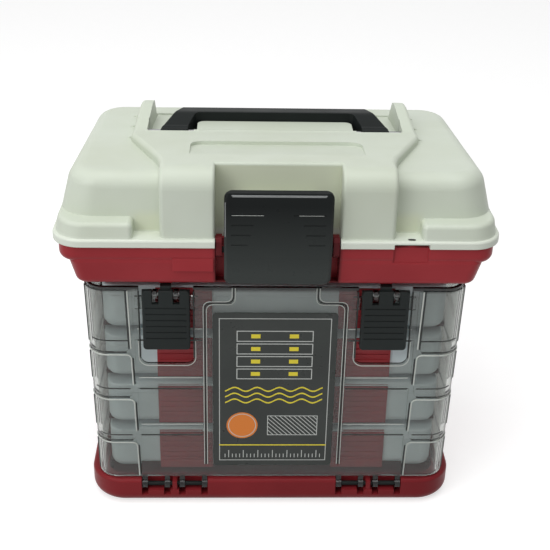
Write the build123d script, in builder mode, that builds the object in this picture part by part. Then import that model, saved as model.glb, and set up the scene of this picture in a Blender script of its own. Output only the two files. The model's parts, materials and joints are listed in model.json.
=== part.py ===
from build123d import *
import os

# A rack tackle box: four clear utility boxes behind a smoked door that wraps the front corners,
# a storage tray above them, and a domed lid with a folding handle and a snap latch.
# Millimetres. X runs across the front, the front faces -Y, +Z is up, the floor is at zero.

os.makedirs("parts", exist_ok=True)

# Utility boxes, one on each level of the rack
box_count = 4
box_length = 225.0
box_depth = 127.0
box_tray_height = 24.4
box_lid_height = 6.9
box_seam = 0.2
box_wall = 1.6
box_corner = 10.0
box_foot_round = 6.0
box_lid_round = 1.4
divider_count = 4
divider_pitch = 52.0
divider_thickness = 1.2
divider_gap = 0.3
divider_drop = 2.4
divider_chamfer = 5.5
box_latch_width = 36.3
box_latch_middle = 59.2
box_latch_plate = 1.4
box_latch_rib = 0.9
box_latch_ribs = 6
box_latch_margin = 1.2

# Rack that carries the boxes on rails
rail_thickness = 2.0
rail_gap = 0.3
rail_grip = 12.0
rail_side_gap = 0.8
rail_front_inset = 9.0
headroom = 3.4
rack_wall = 2.6
rack_lift = 0.5
rack_foot = 3.0
rack_foot_gap = 0.25
box_rear_room = 7.2
tab_length = 12.0
tab_thickness = 1.4
tab_height = 2.0
tab_gap = 0.2

# Smoked door, with its outside shared by the rack behind it
door_wall = 2.4
door_side_gap = 3.9
door_front_gap = 4.2
door_floor_gap = 1.3
door_roof_gap = 4.9
body_draft = 3.5
body_corner = 24.0
door_corner = 13.0
wing_low = 40.0
wing_high = 62.0
wing_gap = 0.7
swing_gap = 0.8
pocket_depth = 1.0
pocket_slope = 5.0
pocket_rib = 3.2
pocket_inner = 47.5
hinge_band = 11.0
tile_depth = 0.9
tile_inner_low = 91.3
tile_inner_high = 94.6
tile_first = 49.7
tile_pitch = 34.8
tile_gap = 2.6
tile_round = 3.0
panel_half = 45.5
panel_neck = 27.0
panel_neck_drop = 11.3
panel_round = 4.0
groove_width = 2.0
label_half = 40.5
label_height = 120.2
label_rise = 9.7
label_thickness = 0.4
label_round = 2.5

# Door latches in notches at the door's top edge
notch_middle = 70.1
notch_width = 34.6
notch_height = 56.8
notch_round = 5.0
strip_height = 9.0
strip_lap = 3.0
strip_drop = 8.0
strip_wall = 2.4
lug_offset = 6.65
lug_width = 3.2
lug_radius = 2.9
lug_gap = 0.5
door_latch_width = 30.4
door_latch_length = 43.4
door_latch_plate = 3.0
door_latch_gap = 1.0
door_latch_pin = 1.2
door_latch_pin_drop = 4.4
door_latch_grooves = 6
door_latch_groove_pitch = 4.4
catch_height = 2.6
catch_half = 4.0
catch_setback = 2.0
catch_gap = 0.4

# Door hinges in the base's front wall
hinge_middle = 67.3
hinge_width = 45.6
hinge_drop = 5.3
hinge_inset = 3.9
hinge_pin = 1.6
hinge_pin_hold = 4.0
finger_outer = 20.6
finger_inner = 5.2
finger_width = 3.6
finger_slot = 4.5
finger_radius = 3.3
finger_clear = 3.9
hinge_lug = 3.2

# Base
base_height = 19.5
base_side_margin = 6.9
base_front_margin = 3.2
base_corner = 24.0
base_round = 8.0
base_lip_round = 2.5
base_floor = 3.0
base_wall = 10.5

# Storage tray
tray_floor = 2.5
tray_waist = 16.3
tray_height = 27.7
tray_bottom_side = 3.2
tray_bottom_front = 5.1
tray_waist_side = 7.0
tray_waist_inset = 2.8
tray_lip_inset = 2.0
tray_lip_side = 4.2
tray_corner = 20.0
tray_front_corner = 8.0
tray_lip_corner = 11.0
tray_foot_round = 5.0
tray_lip_round = 5.5
tray_wall = 4.4
bay_half = 38.5
bay_depth = 14.3
bay_wall = 3.2
ear_thickness = 4.2
ear_height = 5.8
lock_middle = 82.7
lock_width = 22.0
lock_depth = 1.4
lock_rise = 3.0
lock_notch = 6.0
pad_outer = 65.0
pad_height = 9.0
pad_rise = 11.0
pad_proud = 0.9

# Lid
lid_side = 17.4
lid_front_overhang = 11.0
lid_back_overhang = 15.7
lid_seam = 0.3
lid_rim = 5.0
lid_corner = 19.0
lid_taper = 3.5
lid_rim_round = 1.6
lid_shoulder = 9.8
lid_shoulder_inset = 0.8
lid_shoulder_side = 1.6
lid_shoulder_run = 66.0
lid_shoulder_lean = 2.2
lid_shoulder_half = 89.0
lid_shoulder_round = 3.0
lid_deck = 37.0
lid_deck_rise = 5.0
lid_deck_round = 10.0
lid_side_inset = 1.1
lid_side_lean = 10.5
lid_front_inset = 13.0
lid_front_lean = 4.0
lid_back_inset = 6.6
lid_back_lean = 5.5
lid_body_corner = 20.0
lid_body_taper = 9.0
lid_plateau = 44.3
lid_plateau_rise = 5.0
lid_brow_half = 72.5
lid_brow_inset = 3.2
lid_brow_round = 12.0
lid_brow_run = 26.0
lid_brow_bend = 50.0
lid_wide_half = 95.0
lid_wide_back = 80.0
lid_wide_bend = 12.0
lid_flank_round = 3.0
lid_bay_round = 2.0
lid_step_back = 88.5
lid_tongue_half = 52.0
lid_tongue = 17.9
lid_tongue_round = 5.0
lid_crest = 52.3
crest_inner = 85.0
crest_taper = 3.5
crest_lead = 0.5
crest_run = 35.0
crest_flat = 8.0
crest_fall = 15.0
ridge_half = 89.5
gusset_lead = 6.5
gusset_pitch = 23.0
gusset_reach = 6.0
gusset_height = 4.5
gusset_thickness = 1.6
lid_wall = 3.0
lid_roof = 6.0
lid_bay_gap = 0.2
lid_bay_low = 18.3
lid_bay_high = 20.8
lid_rib_rise = 24.5
lid_rib_height = 3.5
lid_rib_half = 24.0
lid_dip_half = 55.0
lid_dip_back = 64.3
lid_dip_run = 27.0
lid_dip_depth = 2.4
lid_dip_round = 8.0
lock_slot_length = 5.0
lock_slot_width = 3.0
lock_slot_inset = 3.8

# Lid hinge at the back
knuckle_radius = 4.4
knuckle_reach = 1.3
knuckle_gap = 0.4
knuckle_clear = 0.6
knuckle_middle = 70.0
knuckle_lid = 16.0
knuckle_tray = 11.0
lid_pin = 1.7
running_gap = 0.07
fixed_gap = 0.02

# Lid latch
latch_half = 33.0
latch_reach = 5.77
latch_plate = 3.4
latch_bottom = 4.3
latch_top = 39.8
latch_corner = 5.0
latch_pin = 2.0
latch_pin_inset = 5.3
latch_pin_drop = 2.9
latch_barrel = 4.2
latch_lean = 2.2
latch_bevel = 1.6
latch_hook_half = 22.0
latch_hook_height = 3.4
latch_hook_gap = 0.3
latch_groove = 0.9
latch_groove_depth = 0.5
latch_groove_pitch = 6.6
latch_groove_outer = 28.5

# Handle
handle_pivot_y = 94.3
handle_pivot_z = 40.6
handle_pin = 1.8
handle_pin_hold = 2.5
handle_end = 5.0
handle_leg_inner = 58.1
handle_leg_outer = 77.8
handle_grip_half = 60.5
handle_grip_inner = 53.0
handle_grip_start = 13.0
handle_grip_depth = 12.5
handle_grip_low = 1.8
handle_grip_high = 9.9
handle_round = 4.0
handle_corner = 3.0
handle_leg_lead = 7.0
handle_waist = 12.0
pivot_pocket_gap = 0.8
pivot_front_gap = 2.8
pivot_back_gap = 3.0

# Heights and widths that follow from the sizes above
box_height = box_tray_height + box_seam + box_lid_height
level_pitch = rail_thickness + rail_gap + box_height + headroom
first_level = base_height + rack_lift
levels = [first_level + level_pitch * index for index in range(box_count)]
door_top = first_level + level_pitch * box_count
door_bottom = base_height + door_floor_gap
tray_bottom = door_top + door_roof_gap
tray_top = tray_bottom + tray_height
lid_bottom = tray_top + lid_seam
rim_top = lid_bottom + lid_rim
deck_top = lid_bottom + lid_deck
plateau_top = lid_bottom + lid_plateau
crest_top = lid_bottom + lid_crest

box_half = box_length / 2
body_half_low = box_half + door_side_gap + door_wall
body_half_high = body_half_low + body_draft
base_half = body_half_low + base_side_margin
lid_half = body_half_high + lid_side

box_latch_thickness = box_latch_plate + box_latch_rib
box_front_room = door_wall + door_front_gap + box_latch_thickness + box_seam
body_depth = box_front_room + box_depth + box_rear_room + rack_wall
rim_back = (lid_front_overhang + body_depth + lid_back_overhang) / 2
rim_front = -rim_back
body_front = rim_front + lid_front_overhang
body_back = rim_back - lid_back_overhang
base_front = body_front - base_front_margin
base_back = body_back + base_front_margin
box_front = body_front + box_front_room
box_back = box_front + box_depth
door_inside = body_front + door_wall

hinge_y = base_front + hinge_inset
hinge_z = base_height - hinge_drop
swing_radius = tray_bottom - hinge_z - swing_gap
strip_back = door_inside + strip_wall
strip_top = door_top - strip_drop
door_latch_back = body_front - door_latch_gap
door_latch_front = door_latch_back - door_latch_plate
door_latch_pin_y = body_front - 0.2
door_latch_pin_z = door_top - door_latch_pin_drop
door_latch_top = door_top - 0.6

waist_z = tray_bottom + tray_waist
lip_front = rim_front + tray_lip_inset
lip_half = lid_half - tray_lip_side
bay_back = lip_front + bay_depth
latch_face = rim_front - latch_reach
latch_pin_y = rim_front + latch_pin_inset
latch_pin_z = tray_top - latch_pin_drop
lid_axis_y = rim_back + knuckle_reach
lid_axis_z = lid_bottom - 0.2
step_y = rim_front + lid_step_back
handle_y = rim_front + handle_pivot_y
handle_z = lid_bottom + handle_pivot_z


def body_half(z):
    return body_half_low + body_draft * (z - base_height) / (tray_bottom - base_height)


def deck_at(y):
    # The lid's side decks fall towards the back
    return deck_top + lid_deck_rise * (rim_back - y) / (rim_back - rim_front)


def plateau_at(y):
    # The lid's middle falls from the brow to the handle's well
    return plateau_top + lid_plateau_rise * (step_y - y) / (step_y - rim_front)


def rounded_block(low, high, corner, taper=0.0, front_corner=0.0):
    # Block between two rounded oblongs, each given as height, half length behind the front corners,
    # front and back, and narrower at the back by the taper on either side. The front corners may
    # have a radius of their own
    with BuildPart() as block:
        for z, half, front, back in (low, high):
            wide = half + taper * corner / (back - front)
            with BuildSketch(Plane.XY.offset(z)) as outline:
                with BuildLine():
                    Polyline((-wide, front), (wide, front), (wide - taper, back), (taper - wide, back),
                             close=True)
                make_face()
                back_corners = outline.vertices().group_by(Axis.Y)[-1]
                front_corners = outline.vertices().group_by(Axis.Y)[0]
                if front_corner:
                    fillet(front_corners, front_corner)
                    fillet(outline.vertices().group_by(Axis.Y)[-1], corner)
                else:
                    fillet(front_corners + back_corners, corner)
        loft()
    return block.part


def body_block(low, high, inset):
    # The drafted outside of door and rack, drawn in by an inset
    front = body_front + inset
    back = body_back - inset
    bottom = (low, body_half(low) - inset, front, back)
    top = (high, body_half(high) - inset, front, back)
    return rounded_block(bottom, top, body_corner - inset, front_corner=door_corner - inset)


def slab(x_low, x_high, y_low, y_high, z_low, z_high):
    with BuildPart() as block:
        with Locations(((x_low + x_high) / 2, (y_low + y_high) / 2, (z_low + z_high) / 2)):
            Box(x_high - x_low, y_high - y_low, z_high - z_low)
    return block.part


def side_prism(points, x_low, x_high):
    # Outline of (y, z) points drawn out along X
    with BuildPart() as prism:
        with BuildSketch(Plane.YZ.offset(x_low)):
            with BuildLine():
                Polyline(*points, close=True)
            make_face()
        extrude(amount=x_high - x_low)
    return prism.part


def rod(y, z, radius, x_low, x_high):
    with BuildPart() as bar:
        with BuildSketch(Plane.YZ.offset(x_low)):
            with Locations((y, z)):
                Circle(radius)
        extrude(amount=x_high - x_low)
    return bar.part


def wing_zone(gap):
    # All that lies ahead of the door wings' slanted rear edge and inside the door's swing
    low = base_height - 2 * rack_foot
    high = tray_bottom + tray_floor
    slope = (wing_high - wing_low) / (door_top - base_height)
    edge = body_front + wing_low + gap
    points = [
        (body_front - body_corner, low),
        (edge + slope * (low - base_height), low),
        (edge + slope * (high - base_height), high),
        (body_front - body_corner, high),
    ]
    with BuildPart() as zone:
        add(side_prism(points, -lid_half, lid_half))
        add(rod(hinge_y, hinge_z, swing_radius + gap, -lid_half, lid_half), mode=Mode.INTERSECT)
    return zone.part


def save(part, name):
    part.label = name
    export_step(part, f"parts/{name}.step")


# Groove in the base for the rack's foot
with BuildPart() as foot_groove:
    foot_low = base_height - rack_foot - rack_foot_gap
    add(body_block(foot_low, base_height + 1, -rack_foot_gap))
    add(body_block(foot_low - 1, base_height + 2, rack_wall + rack_foot_gap), mode=Mode.SUBTRACT)
    add(wing_zone(wing_gap - rack_foot_gap), mode=Mode.SUBTRACT)
    add(slab(-lid_half, lid_half, rim_front, body_front + wing_low / 2, 0, tray_top), mode=Mode.SUBTRACT)

# Base: a shallow pan with rounded edges and two hinge pockets in its front wall
with BuildPart() as base:
    add(rounded_block((0, base_half, base_front, base_back),
                      (base_height, base_half, base_front, base_back), base_corner))
    fillet(base.faces().sort_by(Axis.Z)[0].edges(), base_round)
    fillet(base.faces().sort_by(Axis.Z)[-1].edges(), base_lip_round)
    pan_half = base_half - base_wall
    pan_front = base_front + base_wall
    pan_back = base_back - base_wall
    add(rounded_block((base_floor, pan_half, pan_front, pan_back),
                      (base_height + 1, pan_half, pan_front, pan_back), base_corner - base_wall),
        mode=Mode.SUBTRACT)
    add(foot_groove.part, mode=Mode.SUBTRACT)
    for side in (-1, 1):
        middle = side * hinge_middle
        pocket_low = hinge_z - finger_clear + 0.6
        add(slab(middle - hinge_width / 2, middle + hinge_width / 2, base_front - 1,
                 hinge_y + finger_clear, pocket_low, base_height + 1), mode=Mode.SUBTRACT)
        for offset in (-finger_outer, -finger_inner, finger_inner, finger_outer):
            x = middle + offset
            add(slab(x - finger_slot / 2, x + finger_slot / 2, base_front - 1,
                     hinge_y + finger_clear, hinge_z - 2 * finger_clear + 0.6, base_height + 1),
                mode=Mode.SUBTRACT)
        add(slab(middle - hinge_lug / 2, middle + hinge_lug / 2, hinge_y - finger_radius,
                 hinge_y + finger_clear, pocket_low - 1, hinge_z + finger_radius))
        add(rod(hinge_y, hinge_z, hinge_pin + fixed_gap, middle - hinge_width / 2 - hinge_pin_hold,
                middle + hinge_width / 2 + hinge_pin_hold), mode=Mode.SUBTRACT)

save(base.part, "base_pan")

# Two pins on which the door swings
with BuildPart() as door_hinge_pins:
    pin_half = hinge_width / 2 + hinge_pin_hold - 0.2
    for side in (-1, 1):
        middle = side * hinge_middle
        add(rod(hinge_y, hinge_z, hinge_pin, middle - pin_half, middle + pin_half))

save(door_hinge_pins.part, "door_hinge_pins")

# Rack: side and back walls behind the door, with a pair of rails on each level
with BuildPart() as rack:
    add(body_block(base_height - rack_foot, tray_bottom, 0))
    add(body_block(base_height - rack_foot - 1, tray_bottom + 1, rack_wall), mode=Mode.SUBTRACT)
    add(slab(-lid_half, lid_half, rim_front, body_front + wing_low - 3, 0, tray_top), mode=Mode.SUBTRACT)
    add(wing_zone(wing_gap), mode=Mode.SUBTRACT)
    wing_slope = (wing_high - wing_low) / (door_top - base_height)
    for level in levels:
        rail_high = level + rail_thickness
        rail_back = body_back - body_corner
        web_front = body_front + wing_low + wing_slope * (level - base_height) + 4
        for side in (-1, 1):
            inner = side * (box_half - rail_grip)
            outer = side * (box_half + rail_side_gap)
            wall = side * (body_half(level) - rack_wall / 2)
            add(slab(min(inner, outer), max(inner, outer), box_front + rail_front_inset, rail_back,
                     level, rail_high))
            add(slab(min(inner, wall), max(inner, wall), web_front, rail_back, level, rail_high))
    tab_x = body_half_high - rack_wall / 2
    for side in (-1, 1):
        for tab_y in (body_back - 2 * body_corner, body_front + wing_high + body_corner):
            add(slab(side * tab_x - tab_thickness / 2, side * tab_x + tab_thickness / 2,
                     tab_y - tab_length / 2, tab_y + tab_length / 2,
                     tray_bottom - 1, tray_bottom + tab_height))

save(rack.part, "rack_frame")

# Raised tiles on the door's corners, staggered against the levels
with BuildPart() as columns:
    for index in range(box_count):
        low = door_bottom if index == 0 else tile_first + tile_pitch * (index - 1) + tile_gap
        high = door_top if index == box_count - 1 else tile_first + tile_pitch * index
        share = (high - door_bottom) / (door_top - door_bottom)
        inner = tile_inner_low + (tile_inner_high - tile_inner_low) * share
        for side in (-1, 1):
            with BuildSketch(Plane.XZ.offset(-body_back)):
                with Locations((side * (inner + lid_half / 2), (low + high) / 2)):
                    RectangleRounded(lid_half, high - low, tile_round)
            extrude(amount=body_back - rim_front)

with BuildPart() as tiles:
    add(body_block(door_bottom + 0.6, door_top - 2, -tile_depth))
    add(wing_zone(-1), mode=Mode.INTERSECT)
    add(columns.part, mode=Mode.INTERSECT)

# Grooves round the door's middle panel, and notches for the latches, open at the top edge
with BuildPart() as grooves:
    for side in (-1, 1):
        with BuildSketch(Plane.XZ.offset(-body_front - pocket_depth)):
            with BuildLine():
                FilletPolyline(
                    (side * panel_half, first_level + hinge_band),
                    (side * panel_half, door_top - panel_neck_drop),
                    (side * panel_neck, door_top - panel_neck_drop),
                    (side * panel_neck, door_top + 2),
                    radius=panel_round)
            trace(line_width=groove_width)
        extrude(amount=pocket_depth + 1)

with BuildPart() as notches:
    for side in (-1, 1):
        with BuildSketch(Plane.XZ.offset(-door_inside)):
            with Locations((side * notch_middle, door_top - notch_height / 2 + notch_round)):
                RectangleRounded(notch_width, notch_height + 2 * notch_round, notch_round)
        extrude(amount=3 * door_wall)

# Door: a drafted shell that wraps both front corners
with BuildPart() as door:
    add(body_block(door_bottom, door_top, 0))
    add(wing_zone(0), mode=Mode.INTERSECT)
    add(tiles.part)
    add(body_block(door_bottom - 1, door_top + 1, door_wall), mode=Mode.SUBTRACT)
    # shallow pockets with a sloping sill on each level
    for index, level in enumerate(levels):
        low = level + pocket_rib / 2 if index else level + hinge_band
        high = level + level_pitch - pocket_rib / 2
        sill = [
            (body_front - 5, low),
            (body_front, low),
            (body_front + pocket_depth, low + pocket_slope),
            (body_front + pocket_depth, high),
            (body_front - 5, high),
        ]
        share = (low - door_bottom) / (door_top - door_bottom)
        outer = tile_inner_low + (tile_inner_high - tile_inner_low) * share - groove_width
        for side in (-1, 1):
            edges = sorted((side * pocket_inner, side * outer))
            add(side_prism(sill, edges[0], edges[1]), mode=Mode.SUBTRACT)
    add(grooves.part, mode=Mode.SUBTRACT)
    add(notches.part, mode=Mode.SUBTRACT)
    for side in (-1, 1):
        middle = side * notch_middle
        # strip across the notch on the inside, carrying two lugs
        strip_half = notch_width / 2 + strip_lap
        add(slab(middle - strip_half, middle + strip_half, door_inside, strip_back,
                 strip_top - strip_height, strip_top))
        lug = [
            (strip_back, strip_top - strip_height / 2),
            (strip_back, strip_top),
            (door_latch_pin_y + lug_radius - 0.4, door_latch_pin_z + lug_radius - 1),
            (door_latch_pin_y + lug_radius - 1.6, door_latch_pin_z + lug_radius),
            (door_latch_front - 0.3, door_latch_pin_z + lug_radius),
            (door_latch_front - 0.3, door_latch_pin_z - lug_radius + 1),
            (door_latch_front + 0.8, door_latch_pin_z - lug_radius),
            (door_inside, strip_top - strip_height / 2),
        ]
        for offset in (-lug_offset, lug_offset):
            x = middle + offset
            add(side_prism(lug, x - lug_width / 2, x + lug_width / 2))
        add(rod(door_latch_pin_y, door_latch_pin_z, door_latch_pin + fixed_gap,
                middle - door_latch_width / 2, middle + door_latch_width / 2), mode=Mode.SUBTRACT)
        # hinge fingers below the bottom edge
        for offset in (-finger_outer, -finger_inner, finger_inner, finger_outer):
            x = side * hinge_middle + offset
            add(rod(hinge_y, hinge_z, finger_radius, x - finger_width / 2, x + finger_width / 2))
            add(slab(x - finger_width / 2, x + finger_width / 2, body_front, door_inside,
                     hinge_z, door_bottom + 1))
        add(rod(hinge_y, hinge_z, hinge_pin + running_gap, side * hinge_middle - hinge_width / 2,
                side * hinge_middle + hinge_width / 2), mode=Mode.SUBTRACT)

save(door.part, "front_door")

# Label on the door's middle panel
with BuildPart() as label:
    label_low = door_bottom + label_rise
    with BuildSketch(Plane.XZ.offset(-body_front)):
        with Locations((0, label_low + label_height / 2)):
            RectangleRounded(2 * label_half, label_height, label_round)
    extrude(amount=label_thickness)

save(label.part, "door_label")

# Pins of the two door latches
with BuildPart() as door_latch_pins:
    pin_half = door_latch_width / 2 - 0.6
    for side in (-1, 1):
        middle = side * notch_middle
        add(rod(door_latch_pin_y, door_latch_pin_z, door_latch_pin, middle - pin_half, middle + pin_half))

save(door_latch_pins.part, "door_latch_pins")

# Door latch: a grooved plate hung from its pin, with a nose above the pin
with BuildPart() as door_latch:
    latch_low = door_latch_top - door_latch_length
    with BuildSketch(Plane.XZ.offset(-door_latch_back)):
        with Locations((0, (latch_low + door_latch_top) / 2)):
            RectangleRounded(door_latch_width, door_latch_length, 2.5)
    extrude(amount=door_latch_plate)
    fillet(door_latch.faces().sort_by(Axis.Y)[0].edges(), 1.2)
    add(rod(door_latch_pin_y, door_latch_pin_z, lug_radius, -door_latch_width / 2, door_latch_width / 2))
    nose_top = tray_bottom - catch_height - catch_gap
    add(slab(-lug_offset + lug_width, lug_offset - lug_width, door_latch_pin_y - lug_radius / 2,
             door_latch_pin_y + lug_radius, door_latch_pin_z, nose_top))
    slot = lug_width / 2 + lug_gap
    for offset in (-lug_offset, lug_offset):
        add(slab(offset - slot, offset + slot, door_latch_front - 2, strip_back,
                 door_latch_pin_z - 2 * lug_radius, tray_bottom), mode=Mode.SUBTRACT)
    add(rod(door_latch_pin_y, door_latch_pin_z, door_latch_pin + running_gap, -door_latch_width / 2,
            door_latch_width / 2), mode=Mode.SUBTRACT)
    for index in range(door_latch_grooves):
        z = door_latch_pin_z - 3 * lug_radius - door_latch_groove_pitch * index
        add(slab(-door_latch_width / 2 + 2.2, door_latch_width / 2 - 2.2, door_latch_front - 1,
                 door_latch_front + 0.6, z - 0.5, z + 0.5), mode=Mode.SUBTRACT)

save(Pos(-notch_middle, 0, 0) * door_latch.part, "door_latch_left")
save(Pos(notch_middle, 0, 0) * door_latch.part, "door_latch_right")

# Utility box on the lowest level, then the same on every level
box_low = levels[0] + rail_thickness + rail_gap
box_lid_low = box_low + box_tray_height + box_seam
box_inner = box_half - box_wall
with BuildPart() as box_hollow:
    add(rounded_block((box_low + box_wall, box_inner, box_front + box_wall, box_back - box_wall),
                      (box_lid_low + 1, box_inner, box_front + box_wall, box_back - box_wall),
                      box_corner - box_wall))
    fillet(box_hollow.faces().sort_by(Axis.Z)[0].edges(), box_foot_round - box_wall)

with BuildPart() as box_tray:
    add(rounded_block((box_low, box_half, box_front, box_back),
                      (box_low + box_tray_height, box_half, box_front, box_back), box_corner))
    fillet(box_tray.faces().sort_by(Axis.Z)[0].edges(), box_foot_round)
    add(box_hollow.part, mode=Mode.SUBTRACT)

with BuildPart() as box_lid:
    lid_high = box_lid_low + box_lid_height
    add(rounded_block((box_lid_low, box_half, box_front, box_back),
                      (lid_high, box_half, box_front, box_back), box_corner))
    fillet(box_lid.faces().sort_by(Axis.Z)[-1].edges(), box_lid_round)
    add(rounded_block((box_lid_low - 1, box_inner, box_front + box_wall, box_back - box_wall),
                      (lid_high - box_wall, box_inner, box_front + box_wall, box_back - box_wall),
                      box_corner - box_wall), mode=Mode.SUBTRACT)

with BuildPart() as box_latches:
    latch_high = box_low + box_height - box_latch_margin
    latch_foot = box_low + box_latch_margin
    plate_back = box_front - box_seam
    for side in (-1, 1):
        middle = side * box_latch_middle
        add(slab(middle - box_latch_width / 2, middle + box_latch_width / 2,
                 plate_back - box_latch_plate, plate_back, latch_foot, latch_high))
        rib_pitch = (latch_high - latch_foot) / (box_latch_ribs + 1)
        for index in range(box_latch_ribs):
            z = latch_foot + rib_pitch * (index + 1)
            add(slab(middle - box_latch_width / 2 + 1.5, middle + box_latch_width / 2 - 1.5,
                     plate_back - box_latch_thickness, plate_back - box_latch_plate + 0.2,
                     z - 0.8, z + 0.8))

with BuildPart() as box_dividers:
    divider_low = box_low + box_wall
    divider_high = box_low + box_tray_height - divider_drop
    divider_front = box_front + box_wall + divider_gap
    divider_back = box_back - box_wall - divider_gap
    divider = [
        (divider_front + divider_chamfer, divider_low),
        (divider_back - divider_chamfer, divider_low),
        (divider_back, divider_low + divider_chamfer),
        (divider_back, divider_high),
        (divider_front, divider_high),
        (divider_front, divider_low + divider_chamfer),
    ]
    for index in range(divider_count):
        x = (index - (divider_count - 1) / 2) * divider_pitch
        add(side_prism(divider, x - divider_thickness / 2, x + divider_thickness / 2))

for index in range(box_count):
    lift = Pos(0, 0, level_pitch * index)
    save(lift * box_tray.part, f"box_{index + 1}_tray")
    save(lift * box_lid.part, f"box_{index + 1}_lid")
    save(lift * box_latches.part, f"box_{index + 1}_latches")
    save(lift * box_dividers.part, f"box_{index + 1}_dividers")

# Storage tray: tapered pan under a wider lip, with a bay for the lid latch
with BuildPart() as tray_outside:
    foot_half = body_half_high + tray_bottom_side
    foot_front = body_front - tray_bottom_front
    waist_half = body_half_high + tray_waist_side
    waist_front = rim_front + tray_waist_inset
    add(rounded_block((tray_bottom, foot_half, foot_front, -foot_front),
                      (waist_z, waist_half, waist_front, -waist_front), tray_corner,
                      front_corner=tray_front_corner))
    fillet(tray_outside.faces().sort_by(Axis.Z)[0].edges(), tray_foot_round)
    # straight band above the waist, nearly flush with the lip in front
    add(rounded_block((waist_z, waist_half, waist_front, -waist_front),
                      (tray_top - tray_foot_round / 2, waist_half, waist_front, -waist_front), tray_corner,
                      front_corner=tray_front_corner))

with BuildPart() as tray_lip:
    add(rounded_block((waist_z, lip_half, lip_front, -lip_front),
                      (tray_top, lip_half, lip_front, -lip_front), tray_corner,
                      front_corner=tray_lip_corner))
    fillet(tray_lip.faces().sort_by(Axis.Z)[0].edges(), tray_lip_round)

with BuildPart() as tray_inside:
    floor_z = tray_bottom + tray_floor
    inside_low = (floor_z, foot_half - 1.6 * tray_wall, foot_front + tray_wall, -foot_front - tray_wall)
    inside_high = (tray_top + 1, lip_half - tray_wall, lip_front + tray_wall, -lip_front - tray_wall)
    add(rounded_block(inside_low, inside_high, tray_corner - tray_wall))
    fillet(tray_inside.faces().sort_by(Axis.Z)[0].edges(), 3.0)
    add(slab(-bay_half - bay_wall, bay_half + bay_wall, rim_front, bay_back + bay_wall,
             tray_bottom, tray_top + 2), mode=Mode.SUBTRACT)

with BuildPart() as tray:
    add(tray_outside.part)
    add(tray_lip.part)
    add(tray_inside.part, mode=Mode.SUBTRACT)
    add(slab(-bay_half, bay_half, latch_face, bay_back, tray_bottom - 1, tray_top + 1), mode=Mode.SUBTRACT)
    # sill at the bay's foot and two ears for the latch pin
    add(slab(-bay_half - 1, bay_half + 1, bay_back - 7, bay_back + 1, tray_bottom, tray_bottom + 1.2))
    ear = [
        (bay_back + 0.5, tray_top - 12.5),
        (lip_front + 2.2, tray_top - 7.6),
        (lip_front + 0.2, tray_top - 5.4),
        (lip_front + 0.2, tray_top + ear_height - 2.4),
        (lip_front + 2.0, tray_top + ear_height),
        (bay_back - 6.5, tray_top + ear_height),
        (bay_back - 3.0, tray_top + ear_height - 3.7),
        (bay_back - 2.5, tray_top - 0.9),
        (bay_back + 0.5, tray_top - 0.9),
    ]
    for side in (-1, 1):
        edges = sorted((side * (bay_half - ear_thickness), side * (bay_half - 0.3)))
        add(side_prism(ear, edges[0], edges[1]))
    add(rod(latch_pin_y, latch_pin_z, latch_pin + fixed_gap, -bay_half, bay_half), mode=Mode.SUBTRACT)
    # recess for a padlock below the lid's notch
    add(slab(lock_middle - lock_width / 2, lock_middle + lock_width / 2, latch_face,
             lip_front + lock_depth, waist_z + 1, tray_top + 1), mode=Mode.SUBTRACT)
    # raised pad left of the bay
    add(slab(-pad_outer, -bay_half - 1, waist_front - pad_proud, waist_front + tray_wall / 2,
             tray_bottom + pad_rise, tray_bottom + pad_rise + pad_height))
    # catches over the door latches
    for side in (-1, 1):
        add(slab(side * notch_middle - catch_half, side * notch_middle + catch_half,
                 door_latch_pin_y + catch_setback, door_inside + catch_setback,
                 tray_bottom - catch_height, tray_bottom + 1))
        for tab_y in (body_back - 2 * body_corner, body_front + wing_high + body_corner):
            add(slab(side * tab_x - tab_thickness / 2 - tab_gap, side * tab_x + tab_thickness / 2 + tab_gap,
                     tab_y - tab_length / 2 - tab_gap, tab_y + tab_length / 2 + tab_gap,
                     tray_bottom - 1, tray_bottom + tab_height + tab_gap), mode=Mode.SUBTRACT)
        # back hinge: room for the lid's knuckle, then a knuckle on either side of it
        middle = side * knuckle_middle
        lid_side_half = knuckle_lid / 2 + knuckle_gap
        add(rod(lid_axis_y, lid_axis_z, knuckle_radius + knuckle_clear, middle - lid_side_half,
                middle + lid_side_half), mode=Mode.SUBTRACT)
        for end in (-1, 1):
            span = sorted((middle + end * lid_side_half, middle + end * (lid_side_half + knuckle_tray)))
            add(rod(lid_axis_y, lid_axis_z, knuckle_radius, span[0], span[1]))
            web = [
                (-lip_front - tray_wall / 2, tray_top - 12),
                (-lip_front, tray_top - 12),
                (lid_axis_y + knuckle_radius * 0.7, lid_axis_z - knuckle_radius * 0.72),
                (lid_axis_y, lid_axis_z),
                (-lip_front - tray_wall / 2, tray_top - 0.2),
            ]
            add(side_prism(web, span[0], span[1]))
        add(rod(lid_axis_y, lid_axis_z, lid_pin + fixed_gap, middle - lid_side_half - knuckle_tray,
                middle + lid_side_half + knuckle_tray), mode=Mode.SUBTRACT)

save(tray.part, "storage_tray")

# Pins of the lid hinge and of the lid latch
with BuildPart() as lid_hinge_pins:
    pin_half = knuckle_lid / 2 + knuckle_gap + knuckle_tray - 0.5
    for side in (-1, 1):
        middle = side * knuckle_middle
        add(rod(lid_axis_y, lid_axis_z, lid_pin, middle - pin_half, middle + pin_half))

save(lid_hinge_pins.part, "lid_hinge_pins")

with BuildPart() as lid_latch_pin:
    add(rod(latch_pin_y, latch_pin_z, latch_pin, -bay_half + 0.5, bay_half - 0.5))

save(lid_latch_pin.part, "lid_latch_pin")

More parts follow.
